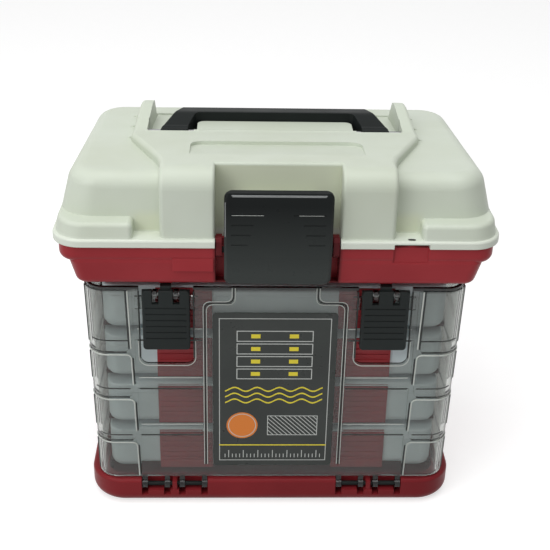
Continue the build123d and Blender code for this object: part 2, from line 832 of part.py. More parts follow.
# Lid, outside: rim, corner shoulders, domed body, middle plateau and two crests
with BuildPart() as lid_rim_block:
    add(rounded_block((lid_bottom, lid_half, rim_front, rim_back),
                      (rim_top, lid_half, rim_front, rim_back), lid_corner, lid_taper))
    fillet(lid_rim_block.faces().sort_by(Axis.Z)[-1].edges(), lid_rim_round)

with BuildPart() as lid_shoulders:
    shoulder_front = rim_front + lid_shoulder_inset
    shoulder_top = rim_top + lid_shoulder
    shoulder_end = rim_front + lid_shoulder_run
    shoulder_half = lid_half - lid_shoulder_side
    lean = lid_shoulder_lean
    add(rounded_block((lid_bottom + 1, shoulder_half, shoulder_front, -shoulder_front),
                      (shoulder_top, shoulder_half - lean, shoulder_front + lean, -shoulder_front - lean),
                      lid_corner - lid_shoulder_inset, lid_taper))
    fillet(lid_shoulders.faces().sort_by(Axis.Z)[-1].edges(), lid_shoulder_round)
    # only the two front corners have a shoulder
    add(slab(-lid_half, lid_half, shoulder_end, rim_back, lid_bottom, crest_top), mode=Mode.SUBTRACT)
    add(slab(-lid_shoulder_half, lid_shoulder_half, rim_front, rim_back, lid_bottom, crest_top),
        mode=Mode.SUBTRACT)
    end_edges = lid_shoulders.edges().filter_by(
        lambda edge: abs(abs(edge.center().X) - lid_shoulder_half) < 0.1
        and edge.center().Y < rim_front + 8 and edge.center().Z > lid_bottom + 4)
    fillet(end_edges, lid_shoulder_round)

with BuildPart() as lid_body:
    dome_front = rim_front + lid_front_inset
    dome_back = rim_back - lid_back_inset
    dome_half = lid_half - lid_side_inset
    dome_high = deck_at(rim_front)
    add(rounded_block((lid_bottom + 1, dome_half, dome_front, dome_back),
                      (dome_high, dome_half - lid_side_lean, dome_front + lid_front_lean,
                       dome_back - lid_back_lean), lid_body_corner, lid_body_taper))
    above_deck = [
        (rim_front, dome_high),
        (rim_back, deck_at(rim_back)),
        (rim_back, crest_top),
        (rim_front, crest_top),
    ]
    add(side_prism(above_deck, -lid_half, lid_half), mode=Mode.SUBTRACT)
    fillet(lid_body.faces().sort_by(Axis.Z)[-1].edges(), lid_deck_round)

with BuildPart() as lid_middle:
    brow_front = rim_front + lid_brow_inset
    wide_y = rim_front + lid_wide_back
    peak_y = step_y + crest_run
    ridge_back = peak_y + crest_fall
    # side view: brow, plateau, a rise to the crests and a fall behind them
    brow = (brow_front, plateau_at(brow_front))
    rise = (step_y - crest_lead, plateau_at(step_y - crest_lead))
    crest_start = (peak_y - crest_flat / 2, crest_top)
    crest_end = (peak_y + crest_flat / 2, crest_top)
    with BuildSketch(Plane.YZ.offset(-lid_half)) as side_view:
        with BuildLine():
            Polyline((brow_front, lid_bottom + 1), brow, rise, crest_start, crest_end,
                     (ridge_back, deck_top - 2), (ridge_back, lid_bottom + 1), close=True)
        make_face()
        for corner, radius in ((brow, lid_brow_round), (rise, 30), (crest_start, 6), (crest_end, 5)):
            fillet(side_view.vertices().sort_by_distance(corner)[0], radius)
    extrude(amount=2 * lid_half)
    # plan: narrow at the brow, wide at the ridges
    brow_side = brow_front + lid_brow_run
    with BuildSketch(Plane.XY.offset(lid_bottom)) as plan:
        with BuildLine():
            Polyline((-lid_brow_half, brow_front - 30), (lid_brow_half, brow_front - 30),
                     (lid_brow_half, brow_side), (lid_wide_half, wide_y), (ridge_half, ridge_back + 5),
                     (-ridge_half, ridge_back + 5), (-lid_wide_half, wide_y), (-lid_brow_half, brow_side),
                     close=True)
        make_face()
        for side in (-1, 1):
            fillet(plan.vertices().sort_by_distance((side * lid_brow_half, brow_side))[0], lid_brow_bend)
            fillet(plan.vertices().sort_by_distance((side * lid_wide_half, wide_y))[0], lid_wide_bend)
    extrude(amount=2 * lid_crest, mode=Mode.INTERSECT)
    flank_edges = lid_middle.edges().filter_by(
        lambda edge: abs(edge.center().X) > lid_brow_half - 2 and edge.center().Z > lid_bottom + 3
        and edge.center().Y < ridge_back - 0.5)
    fillet(flank_edges, lid_flank_round)
    # bay for the latch, open at the top, its edges softened
    bay_slope = (lid_bay_high - lid_bay_low) / (plateau_top - lid_bottom)
    bay_half_lid = bay_half + lid_bay_gap
    bay = [
        (latch_face - 5, lid_bottom - 5),
        (rim_front + lid_bay_low - 5 * bay_slope, lid_bottom - 5),
        (rim_front + lid_bay_high + 20 * bay_slope, plateau_top + 20),
        (latch_face - 5, plateau_top + 20),
    ]
    add(side_prism(bay, -bay_half_lid, bay_half_lid), mode=Mode.SUBTRACT)
    bay_edges = lid_middle.edges().filter_by(
        lambda edge: abs(edge.center().X) < bay_half_lid + 0.1 and edge.center().Z > lid_bottom + 5
        and (edge.center().Y < rim_front + lid_brow_inset + 2 or edge.center().Z > plateau_top - 5)
        and edge.center().Y < rim_front + lid_bay_high + 3)
    fillet(bay_edges, lid_bay_round)
    # three gussets on each flank
    for index in range(3):
        gusset_y = wide_y + gusset_lead + gusset_pitch * index
        gusset_foot = deck_at(gusset_y)
        for side in (-1, 1):
            gusset = [
                (side * (ridge_half - 3), gusset_foot - 1),
                (side * (lid_wide_half + gusset_reach), gusset_foot - 1),
                (side * (ridge_half - 3), gusset_foot + gusset_height),
            ]
            with BuildSketch(Plane.XZ.offset(-gusset_y)):
                with BuildLine():
                    Polyline(*gusset, close=True)
                make_face()
            extrude(amount=gusset_thickness)

# Well for the handle, with a tongue of the plateau left standing in it
with BuildPart() as handle_well:
    well_back = ridge_back + 1
    well_half = crest_inner - crest_taper
    with BuildSketch(Plane.XY.offset(deck_top)):
        with BuildLine():
            Polyline((-crest_inner, step_y), (crest_inner, step_y), (well_half, well_back),
                     (-well_half, well_back), close=True)
        make_face()
    extrude(amount=crest_top + 2 - deck_top)
    with BuildSketch(Plane.XY.offset(deck_top - lid_roof / 2)):
        with Locations((0, step_y)):
            RectangleRounded(2 * lid_tongue_half, 2 * lid_tongue, lid_tongue_round)
    extrude(amount=plateau_top - deck_top + lid_roof / 2, mode=Mode.SUBTRACT)

# Lid, inside: the space under the decks, behind the brow and under the plateau
with BuildPart() as lid_inside:
    roof = deck_top - lid_roof
    roof_share = (roof - lid_bottom) / (dome_high - lid_bottom)
    inner_half = dome_half - lid_wall
    inner_front = dome_front + lid_wall
    inner_back = dome_back - lid_wall
    add(rounded_block((lid_bottom - 1, inner_half, inner_front, inner_back),
                      (roof, inner_half - lid_side_lean * roof_share,
                       inner_front + lid_front_lean * roof_share, inner_back - lid_back_lean * roof_share),
                      lid_body_corner - lid_wall, lid_body_taper))
    under_brow = lid_brow_half - 2 * lid_wall
    add(slab(-under_brow, under_brow, brow_front + lid_wall, step_y - lid_wall, lid_bottom - 1, roof))
    add(slab(-under_brow, under_brow, rim_front + lid_bay_high + 2 * lid_wall, step_y - lid_wall,
             roof - 1, plateau_top - lid_wall - lid_dip_depth))
    bay_inner = [
        (rim_front - 5, lid_bottom - 2),
        (rim_front + lid_bay_low + lid_wall, lid_bottom - 2),
        (rim_front + lid_bay_high + lid_wall, plateau_top),
        (rim_front - 5, plateau_top),
    ]
    add(side_prism(bay_inner, -bay_half - lid_wall, bay_half + lid_wall), mode=Mode.SUBTRACT)

with BuildPart() as lid_dip:
    dip_y = rim_front + lid_dip_back
    dip_start = dip_y - lid_dip_run
    with BuildSketch(Plane.XY.offset(plateau_top - 2 * lid_dip_depth)):
        with Locations((0, dip_start)):
            RectangleRounded(2 * lid_dip_half, 2 * lid_dip_run, lid_dip_round)
    extrude(amount=8 * lid_dip_depth)
    wedge = [
        (dip_y, plateau_at(dip_y) - lid_dip_depth),
        (dip_y, plateau_at(dip_y) + 2),
        (dip_start, plateau_at(dip_start) + 2),
        (dip_start, plateau_at(dip_start)),
    ]
    add(side_prism(wedge, -lid_half, lid_half), mode=Mode.INTERSECT)

with BuildPart() as lock_slot:
    with BuildSketch(Plane.XY.offset(lid_bottom)):
        with Locations((lock_middle, rim_front + lock_slot_inset)):
            SlotOverall(lock_slot_length, lock_slot_width)
    extrude(amount=2 * lid_rim)

with BuildPart() as lid:
    add(lid_rim_block.part)
    add(lid_shoulders.part)
    add(lid_body.part)
    add(lid_middle.part)
    add(handle_well.part, mode=Mode.SUBTRACT)
    add(lid_inside.part, mode=Mode.SUBTRACT)
    add(lid_dip.part, mode=Mode.SUBTRACT)
    # bay for the latch, with the rib that its hook catches
    add(side_prism(bay, -bay_half_lid, bay_half_lid), mode=Mode.SUBTRACT)
    rib_front = rim_front + lid_rib_height * 3
    add(slab(-lid_rib_half, lid_rib_half, rib_front, rim_front + lid_bay_high,
             lid_bottom + lid_rib_rise, lid_bottom + lid_rib_rise + lid_rib_height))
    # notch and slot for a padlock in the rim
    add(slab(lock_middle - lock_width / 2, lock_middle + lock_width / 2, latch_face,
             rim_front + lock_notch, lid_bottom - 1, lid_bottom + lock_rise), mode=Mode.SUBTRACT)
    add(lock_slot.part, mode=Mode.SUBTRACT)
    for side in (-1, 1):
        # pockets and pin holes for the handle's ends
        pocket = sorted((side * (lid_tongue_half + 2), side * (crest_inner - 0.6)))
        add(slab(pocket[0], pocket[1], handle_y - handle_end - pivot_front_gap,
                 handle_y + handle_end + pivot_back_gap, handle_z - handle_end - pivot_pocket_gap,
                 crest_top + 1), mode=Mode.SUBTRACT)
        hole = sorted((side * (lid_tongue_half - handle_pin_hold), side * (crest_inner + handle_pin_hold)))
        add(rod(handle_y, handle_z, handle_pin + fixed_gap, hole[0], hole[1]), mode=Mode.SUBTRACT)
        # back hinge: room for the tray's knuckles, then the lid's own
        middle = side * knuckle_middle
        room = knuckle_lid / 2 + 2 * knuckle_gap + knuckle_tray
        add(rod(lid_axis_y, lid_axis_z, knuckle_radius + knuckle_clear, middle - room, middle + room),
            mode=Mode.SUBTRACT)
        add(rod(lid_axis_y, lid_axis_z, knuckle_radius, middle - knuckle_lid / 2, middle + knuckle_lid / 2))
        web = [
            (rim_back - 8, rim_top - 0.5),
            (rim_back - 8, lid_bottom + 0.8),
            (lid_axis_y, lid_axis_z),
            (lid_axis_y + knuckle_radius * 0.7, lid_axis_z + knuckle_radius * 0.72),
            (rim_back, rim_top - 0.5),
        ]
        add(side_prism(web, middle - knuckle_lid / 2, middle + knuckle_lid / 2))
        add(rod(lid_axis_y, lid_axis_z, lid_pin + running_gap, middle - knuckle_lid / 2,
                middle + knuckle_lid / 2), mode=Mode.SUBTRACT)

save(lid.part, "lid_shell")

# Lid latch: a tall plate on the tray's pin, with a hook behind its upper half
with BuildPart() as lid_latch:
    latch_low = tray_bottom + latch_bottom
    latch_high = lid_bottom + latch_top
    plate = [
        (latch_face + latch_lean, latch_low),
        (latch_face, latch_pin_z),
        (latch_face, latch_high - 4),
        (latch_face + 1.2, latch_high - 1.2),
        (latch_face + latch_plate, latch_high),
        (latch_face + latch_plate, latch_pin_z),
        (latch_face + latch_plate + latch_lean, latch_low),
    ]
    add(side_prism(plate, -latch_half, latch_half))
    with BuildSketch(Plane.XZ.offset(-rim_back)):
        with Locations((0, (latch_low + latch_high) / 2)):
            RectangleRounded(2 * latch_half, latch_high - latch_low, latch_corner)
    extrude(amount=3 * rim_back, mode=Mode.INTERSECT)
    side_edges = lid_latch.edges().filter_by(
        lambda edge: abs(edge.center().X) > latch_half - 0.1 and edge.center().Y < latch_face + latch_lean
        and latch_low + latch_corner < edge.center().Z < latch_high - latch_corner)
    chamfer(side_edges, latch_bevel)
    add(rod(latch_pin_y, latch_pin_z, latch_barrel, -latch_half, latch_half))
    add(slab(-latch_half, latch_half, latch_face + latch_plate - 0.5, latch_pin_y,
             latch_pin_z - latch_barrel / 2, latch_pin_z + latch_barrel / 2))
    hook_low = lid_bottom + lid_rib_rise + lid_rib_height / 2
    add(slab(-latch_hook_half, latch_hook_half, latch_face + latch_plate - 0.5,
             rim_front + lid_rib_height * 3 - latch_hook_gap, hook_low, hook_low + latch_hook_height))
    add(rod(latch_pin_y, latch_pin_z, latch_pin + running_gap, -latch_half, latch_half), mode=Mode.SUBTRACT)
    for index in range(4):
        z = latch_high - 15 - latch_groove_pitch * index
        inner = 9.0 if index == 0 else 13.5 + 1.7 * index
        for side in (-1, 1):
            edges = sorted((side * inner, side * latch_groove_outer))
            add(slab(edges[0], edges[1], latch_face - 1, latch_face + latch_groove_depth,
                     z - latch_groove / 2, z + latch_groove / 2), mode=Mode.SUBTRACT)

save(lid_latch.part, "lid_latch")

# Handle, folded back behind the plateau
with BuildPart() as handle:
    grip_front = handle_y + handle_grip_start
    grip_back = grip_front + handle_grip_depth
    grip_low = handle_z - handle_grip_low
    grip_high = handle_z + handle_grip_high
    leg_start = handle_y - handle_leg_lead
    # side view: round ends at the pivots, thicker at the grip
    with BuildSketch(Plane.YZ.offset(-handle_leg_outer)) as side_view:
        with BuildLine():
            Polyline((handle_y, handle_z - handle_end), (grip_front, grip_low), (grip_back, grip_low),
                     (grip_back, grip_high), (grip_front, grip_high), (handle_y, handle_z + handle_end),
                     close=True)
        make_face()
        for corner, radius in (((grip_front, grip_low), handle_waist),
                               ((grip_front, grip_high), handle_waist),
                               ((grip_back, grip_low), handle_round),
                               ((grip_back, grip_high), handle_round)):
            fillet(side_view.vertices().sort_by_distance(corner)[0], radius)
        with Locations((handle_y, handle_z)):
            Circle(handle_end)
    extrude(amount=2 * handle_leg_outer)
    # plan: legs that flare from the grip out to the pivots
    with BuildSketch(Plane.XY.offset(deck_top - lid_roof)) as plan:
        with BuildLine():
            Polyline((-handle_leg_outer, leg_start), (handle_leg_outer, leg_start),
                     (handle_grip_half, grip_back), (-handle_grip_half, grip_back), close=True)
        make_face()
        with BuildLine():
            Polyline((-handle_leg_inner, handle_y - 3 * handle_end),
                     (handle_leg_inner, handle_y - 3 * handle_end),
                     (handle_leg_inner, handle_y), (handle_grip_inner, grip_front),
                     (-handle_grip_inner, grip_front), (-handle_leg_inner, handle_y), close=True)
        make_face(mode=Mode.SUBTRACT)
        for side in (-1, 1):
            for corner, radius in (((handle_grip_half, grip_back), handle_corner),
                                   ((handle_grip_inner, grip_front), 4), ((handle_leg_inner, handle_y), 20)):
                spot = (side * corner[0], corner[1])
                fillet(plan.vertices().sort_by_distance(spot)[0], radius)
    extrude(amount=4 * handle_grip_high, mode=Mode.INTERSECT)
    add(rod(handle_y, handle_z, handle_pin + running_gap, -handle_leg_outer, handle_leg_outer),
        mode=Mode.SUBTRACT)

save(handle.part, "handle")

with BuildPart() as handle_pins:
    for side in (-1, 1):
        ends = sorted((side * (lid_tongue_half - handle_pin_hold + 0.3),
                       side * (crest_inner + handle_pin_hold - 0.3)))
        add(rod(handle_y, handle_z, handle_pin, ends[0], ends[1]))

save(handle_pins.part, "handle_pins")
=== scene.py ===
import json
import math

import bpy
from mathutils import Matrix, Vector


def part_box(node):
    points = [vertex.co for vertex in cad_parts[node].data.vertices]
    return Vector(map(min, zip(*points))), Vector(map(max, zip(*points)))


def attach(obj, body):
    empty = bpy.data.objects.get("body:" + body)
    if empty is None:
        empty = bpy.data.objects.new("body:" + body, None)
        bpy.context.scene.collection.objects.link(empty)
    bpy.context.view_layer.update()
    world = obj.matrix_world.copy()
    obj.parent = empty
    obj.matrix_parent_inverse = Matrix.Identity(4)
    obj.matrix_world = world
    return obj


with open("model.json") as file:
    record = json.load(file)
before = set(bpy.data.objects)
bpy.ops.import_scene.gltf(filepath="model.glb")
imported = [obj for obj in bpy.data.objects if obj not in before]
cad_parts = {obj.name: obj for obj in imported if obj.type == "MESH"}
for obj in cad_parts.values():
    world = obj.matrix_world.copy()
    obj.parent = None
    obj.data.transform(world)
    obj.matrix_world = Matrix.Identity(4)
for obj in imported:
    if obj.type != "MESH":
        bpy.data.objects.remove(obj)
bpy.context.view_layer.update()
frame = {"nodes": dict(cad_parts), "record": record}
nodes = frame["nodes"]

# Camera, fitted to the photograph: 550 x 550 pixels, one focal length in pixels, three angles and a place
IMAGE_PIXELS = 550
FOCAL_PIXELS = 1110.2
SENSOR_MM = 36.0
PITCH_DOWN = math.radians(27.27)
YAW = math.radians(2.27)
ROLL = math.radians(-1.34)
CAMERA_PLACE = Vector((-0.0257, -0.6975, 0.4990))

# Studio: brightness of the surroundings and of the floor, and soft lamps by place, size and power
WORLD_LIGHT = 0.36
FLOOR_GLOW = 0.62
FLOOR_SIZE = 12.0
FLOOR_LEVEL = -0.0005
FLOOR_GRAIN_SCALE = 60.0
LAMP_TARGET = Vector((0.0, 0.0, 0.13))
LAMPS = (
    ("overhead", (-0.1, -0.25, 1.7), (1.5, 1.3), 16.2),
    ("front", (-1.0, -1.4, 1.45), (1.3, 1.0), 9.0),
    ("side", (-0.95, -0.85, 0.75), (0.7, 0.7), 4.0),
)

MM_PER_M = 1000.0
# Middle part of a noise's range, stretched over the range it drives
NOISE_RANGE = (0.3, 0.7)

# Colours, as linear values
CREAM = (0.58, 0.63, 0.545)
CREAM_WARM = (0.53, 0.575, 0.475)
# Painted shade, tinted yellow, for the lid's bay and nooks
CREAM_PAINTED_SHADE = (0.58, 0.62, 0.48)
# Painted light that makes the lid's rim paler
CREAM_PAINTED_LIGHT = (0.67, 0.71, 0.63)
# Painted shade inside the padlock slot
SLOT_PAINTED_SHADE = (0.012, 0.009, 0.008)
RED = (0.345, 0.034, 0.041)
RED_DEEP = (0.27, 0.024, 0.030)
# Painted shade on the tray in the lid latch's bay
RED_BAY_PAINTED_SHADE = (0.075, 0.007, 0.009)
RED_INSIDE = (0.060, 0.022, 0.022)
# Darker copies of the red: painted shade for the base
RED_PAINTED_SHADE = (0.215, 0.019, 0.023)
RED_DEEP_PAINTED_SHADE = (0.165, 0.013, 0.017)
BLACK = (0.0085, 0.0105, 0.0105)
BLACK_WORN = (0.013, 0.016, 0.0155)
LATCH_BLACK = (0.0055, 0.0068, 0.0068)
# Painted reflection that makes the lid latch paler towards its foot
LATCH_PAINTED_REFLECTION = (0.042, 0.048, 0.046)
DOOR_LATCH_BLACK = (0.018, 0.0225, 0.022)
SMOKE = (0.46, 0.475, 0.455)
SMOKE_SHADE = (0.53, 0.545, 0.525)
# Painted shade on the door at its hinge fingers and along its top edge
SMOKE_PAINTED_SHADE = (0.02, 0.02, 0.02)
SMOKE_LAMPLIGHT = (0.72, 0.73, 0.71, 1.0)  # lamplight that has passed the door
FROST = (0.86, 0.95, 0.99)
FROST_SHADE = (0.77, 0.86, 0.90)
STEEL = (0.22, 0.22, 0.23)
STEEL_BRIGHT = (0.34, 0.34, 0.35)
# Painted highlights along the edges of the door and the grooves of the lid latch
EDGE_PAINTED_HIGHLIGHT = (0.62, 0.65, 0.61)
EDGE_PAINTED_HIGHLIGHT_DIM = (0.40, 0.42, 0.40)
# Painted highlights along the edges of the lid latch
EDGE_PAINTED_HIGHLIGHT_GREY = (0.30, 0.31, 0.31)
EDGE_PAINTED_HIGHLIGHT_GREY_DIM = (0.18, 0.19, 0.19)
# Painted shade along the edges of the door
EDGE_PAINTED_SHADE = (0.018, 0.021, 0.020)
EDGE_PAINTED_SHADE_PALE = (0.03, 0.034, 0.032)
LABEL_DARK = (0.021, 0.025, 0.023)
LABEL_FADED = (0.030, 0.035, 0.032)
LABEL_LIGHT = (0.50, 0.52, 0.50)
LABEL_YELLOW = (0.72, 0.60, 0.04)
LABEL_ORANGE = (0.68, 0.20, 0.03)
FLOOR = (0.54, 0.54, 0.54)
FLOOR_PALER = (0.56, 0.56, 0.56)
WHITE = (1.0, 1.0, 1.0, 1.0)

# Zones of painted shade on the solids, in metres: lower and upper limits along X, Y and Z
LID_BAY = ((-1.0, 0.0392), (-0.0720, -0.0610), (0.2020, 0.2480))
LID_NOOK = ((0.0722, 0.0890), (-0.0770, -0.0660), (0.2020, 0.2190))
LID_SLOT = ((0.0799, 0.0855), (-0.0843, -0.0807), (0.2040, 0.2064))
RACK_INSIDE = ((-1.0, 0.1167), (-0.0740, 0.0690), (0.0, 1.0))
# Stretches over which painted shade and painted light fade, in metres: along X at the tray's bay, along Y
# there, and along Z
TRAY_BAY_SIDE = (0.0385, 0.0405)
TRAY_BAY_BACK = (-0.0725, -0.0705)
LID_RIM_TOP = (0.2060, 0.2085)
LID_LATCH_HEIGHT = (0.186, 0.232)
# The door is clear between its hinge fingers and its top edge, and has painted shade on both
DOOR_CLEAR = (0.0210, 0.1662)
# Sideways lean of the rack's walls for each metre of height
RACK_LEAN = 0.0227

# The door's front, in metres: its plane, round corners, and half length at its lowest and highest level
DOOR_FRONT = -0.0753
DOOR_CORNER = 0.013
DOOR_LOW, DOOR_HIGH = 0.0195, 0.1737
DOOR_HALF_LOW, DOOR_HALF_HIGH = 0.1188, 0.1223
# Angles of the points along a round corner, from the side to the front, and along a small bend
CORNER_TURNS = range(88, -1, -8)
BEND_TURNS = (30, 60, 90)
# Corner tiles by top and foot, and where their inner edge runs
TILE_RISE = 0.0009
TILE_BEND = 0.003
TILES = ((0.0497, 0.0222), (0.0845, 0.0592), (0.1193, 0.0964))
TOP_TILE = (0.1665, 0.1240)
TILE_INNER, TILE_INNER_GAIN = 0.0913, 0.0033
TILE_INNER_LOW, TILE_INNER_RUN = 0.0208, 0.148
# Shade above a ledge, inside a tile's edge and beside the upmost tile's edge
LEDGE_SHADE = 0.0016
TILE_SHADE = 0.0009
TOP_TILE_SHADE = 0.0013
# Angles of two painted glints and a line of painted shade on the round corner. They stop short of the
# ledges
GLINT_TURNS = (60, 64, 74)
GLINT_GAP = 0.0022
GLINT_TOP_TILE = (0.1665, 0.1250)
# Ribs by level and by the rise of what they run across, and their lines
RIBS = ((0.0572, 0.0), (0.0944, 0.0), (0.1316, TILE_RISE))
RIB_LINE_ABOVE, RIB_LINE_BELOW = 0.0066, 0.0016
RIB_LINE_DEPTH, RIB_RUN_DEPTH = 0.0006, 0.0003
RIB_START, RIB_END = 0.0475, 0.0890
RIB_RUN_START, RIB_RUN_STEP = 0.0950, 0.0033
RIB_RUN_TURNS = range(10, 51, 10)
# Groove round the middle panel and its neck
PANEL_HALF, PANEL_FOOT = 0.0455, 0.0312
NECK_HALF, NECK_FOOT, NECK_TOP = 0.0270, 0.1575, 0.1685
GROOVE_HALF, GROOVE_DEPTH, GROOVE_BEND = 0.0010, 0.0006, 0.004
# Latch notches, and the lip round their foot
NOTCH_MIDDLE, NOTCH_HALF = 0.0701, 0.0173
NOTCH_FOOT, NOTCH_TOP, NOTCH_ROUND = 0.1120, 0.1660, 0.005
NOTCH_LIP, NOTCH_LIP_TOP = 0.0012, 0.1300
NOTCH_SIDE_GAP = 0.0002
NOTCH_TURNS = range(0, 91, 15)
# Widths of the beads that draw these edges
LIGHT_WIDTH, DARK_WIDTH, FINE_WIDTH = 0.0010, 0.0011, 0.0006

# Painted highlights on the edges of the lid latch, in metres: bevel lines by inset, depth and height,
# side line, groove lines
LATCH_FACE, LATCH_HALF = -0.0920, 0.0330
LATCH_BEVEL_LINES = ((0.0050, 0.00035, 0.2384), (0.0045, 0.00060, 0.2390))
LATCH_SIDE_INSET, LATCH_SIDE_TOP, LATCH_SIDE_FOOT = 0.0008, 0.2345, 0.2120
LATCH_GROOVE_LEVEL, LATCH_GROOVE_DEPTH = 0.2263, 0.0002
LATCH_GROOVES = ((-0.0285, -0.0090), (0.0120, 0.0270))
LATCH_EDGE_WIDTH, LATCH_LINE_WIDTH = 0.0007, 0.0004


def shader(name):
    """A new material with its node tree and its Principled node."""
    material = bpy.data.materials.new(name)
    material.use_nodes = True
    tree = material.node_tree
    return material, tree, tree.nodes["Principled BSDF"]


def set_input(tree, socket, value):
    """Links a socket to another one, or sets it to a plain value."""
    if isinstance(value, bpy.types.NodeSocket):
        tree.links.new(value, socket)
    else:
        socket.default_value = value


def add_node(tree, kind, **values):
    """A node with its named inputs set, or linked where the value is a socket."""
    node = tree.nodes.new(kind)
    for name, value in values.items():
        set_input(tree, node.inputs[name], value)
    return node


def math_node(tree, operation, *values):
    """Result of a calculation with up to three values or sockets."""
    node = tree.nodes.new("ShaderNodeMath")
    node.operation = operation
    for socket, value in zip(node.inputs, values):
        set_input(tree, socket, value)
    return node.outputs[0]


def blend_colours(tree, share, first, second):
    """Colour between first and second. Either may be a socket."""
    node = tree.nodes.new("ShaderNodeMix")
    node.data_type = "RGBA"
    tree.links.new(share, node.inputs["Factor"])
    for socket, value in ((node.inputs[6], first), (node.inputs[7], second)):
        set_input(tree, socket, value if isinstance(value, bpy.types.NodeSocket) else (*value, 1.0))
    return node.outputs[2]


def spread(tree, value, low, high, to_low, to_high):
    """A value moved from one range to another, and kept within the second."""
    node = add_node(tree, "ShaderNodeMapRange", Value=value)
    for index, limit in enumerate((low, high, to_low, to_high), start=1):
        node.inputs[index].default_value = limit
    return node.outputs["Result"]


def place(tree):
    """Position on the object, in metres."""
    return tree.nodes.new("ShaderNodeTexCoord").outputs["Object"]


def place_axes(tree):
    """Position on the object along X, Y and Z, as three sockets."""
    return add_node(tree, "ShaderNodeSeparateXYZ", Vector=place(tree)).outputs


def noise(tree, scale, detail=3.0, rough=0.55):
    """Smooth noise around a half, finer with a larger scale."""
    node = add_node(tree, "ShaderNodeTexNoise", Vector=place(tree), Scale=scale, Detail=detail,
                    Roughness=rough)
    return node.outputs["Fac"]


def mottle(tree, scale, low=0.0, high=1.0, detail=3.0):
    """Noise stretched so that it runs from low to high."""
    return spread(tree, noise(tree, scale, detail), *NOISE_RANGE, low, high)


def fade(tree, value, stretch, share=1.0):
    """A share that falls to 0 over a stretch of a value."""
    return spread(tree, value, *stretch, share, 0.0)


def band(tree, value, low, high, soft):
    """1 between two limits and 0 beyond them."""
    rising = spread(tree, value, low - soft, low + soft, 0.0, 1.0)
    falling = spread(tree, value, high - soft, high + soft, 1.0, 0.0)
    return math_node(tree, "MULTIPLY", rising, falling)


def zone(tree, axes, limits, soft):
    """Share of a block given by its limits along each axis."""
    share = 1.0
    for value, (low, high) in zip(axes, limits):
        share = math_node(tree, "MULTIPLY", band(tree, value, low, high, soft), share)
    return share


def lid_painted_shade(tree):
    """Share of painted shade, tinted yellow, on the lid: the bay's back wall and the nooks between brow
    and shoulders.
    """
    x, y, z = place_axes(tree)
    axes = (math_node(tree, "ABSOLUTE", x), y, z)
    bay = zone(tree, axes, LID_BAY, soft=0.0006)
    nook = zone(tree, axes, LID_NOOK, soft=0.0030)
    return math_node(tree, "MAXIMUM", bay, nook)


def slot_painted_shade(tree):
    """Share of painted shade in the padlock slot of the lid's rim."""
    return zone(tree, place_axes(tree), LID_SLOT, soft=0.0001)


def rim_painted_light(tree):
    """Share of painted light that makes the rim at the foot of the lid paler."""
    return fade(tree, place_axes(tree)["Z"], LID_RIM_TOP, share=0.9)


def rack_inside(tree):
    """Share of the shaded inside of the rack, whose walls lean out a little towards the top.

    The zone's corners are square, so a strip of the rounded back corners' outside lies in it too.
    """
    x, y, z = place_axes(tree)
    lean = math_node(tree, "MULTIPLY", z, RACK_LEAN)
    across = math_node(tree, "SUBTRACT", math_node(tree, "ABSOLUTE", x), lean)
    return zone(tree, (across, y, z), RACK_INSIDE, soft=0.0004)


def latch_bay_painted_shade(tree):
    """Share of painted shade on the tray in its bay for the lid latch."""
    x, y, _ = place_axes(tree)
    middle = fade(tree, math_node(tree, "ABSOLUTE", x), TRAY_BAY_SIDE, share=0.85)
    return math_node(tree, "MULTIPLY", middle, fade(tree, y, TRAY_BAY_BACK))


def latch_painted_reflection(tree):
    """Share of a painted reflection on the lid latch, growing towards its foot."""
    return fade(tree, place_axes(tree)["Z"], LID_LATCH_HEIGHT)


def moulded(name, colour, other, rough, grain, shine=0.3, edge=0.0006, painted_light_and_shade=()):
    """Moulded plastic: slow drifts of colour, uneven gloss, a fine grain and softened edges, with painted
    light and shade in given zones.
    """
    drift_scale, gloss_scale, grain_scale = 14.0, 55.0, 1400.0
    duller, glossier, grain_depth = 0.06, 0.05, 0.0004
    material, tree, surface = shader(name)
    surface.inputs["Specular IOR Level"].default_value = shine
    base = blend_colours(tree, mottle(tree, drift_scale), colour, other)
    # painted light and painted shade, each in its own zone
    for share, tone in painted_light_and_shade:
        base = blend_colours(tree, share(tree), base, tone)
    tree.links.new(base, surface.inputs["Base Color"])
    gloss = mottle(tree, gloss_scale, rough - glossier, rough + duller, detail=4.0)
    tree.links.new(gloss, surface.inputs["Roughness"])
    soft_edge = add_node(tree, "ShaderNodeBevel", Radius=edge)
    soft_edge.samples = 6
    bump = add_node(tree, "ShaderNodeBump", Strength=grain, Distance=grain_depth,
                    Height=noise(tree, grain_scale, detail=2.0), Normal=soft_edge.outputs["Normal"])
    tree.links.new(bump.outputs["Normal"], surface.inputs["Normal"])
    return material


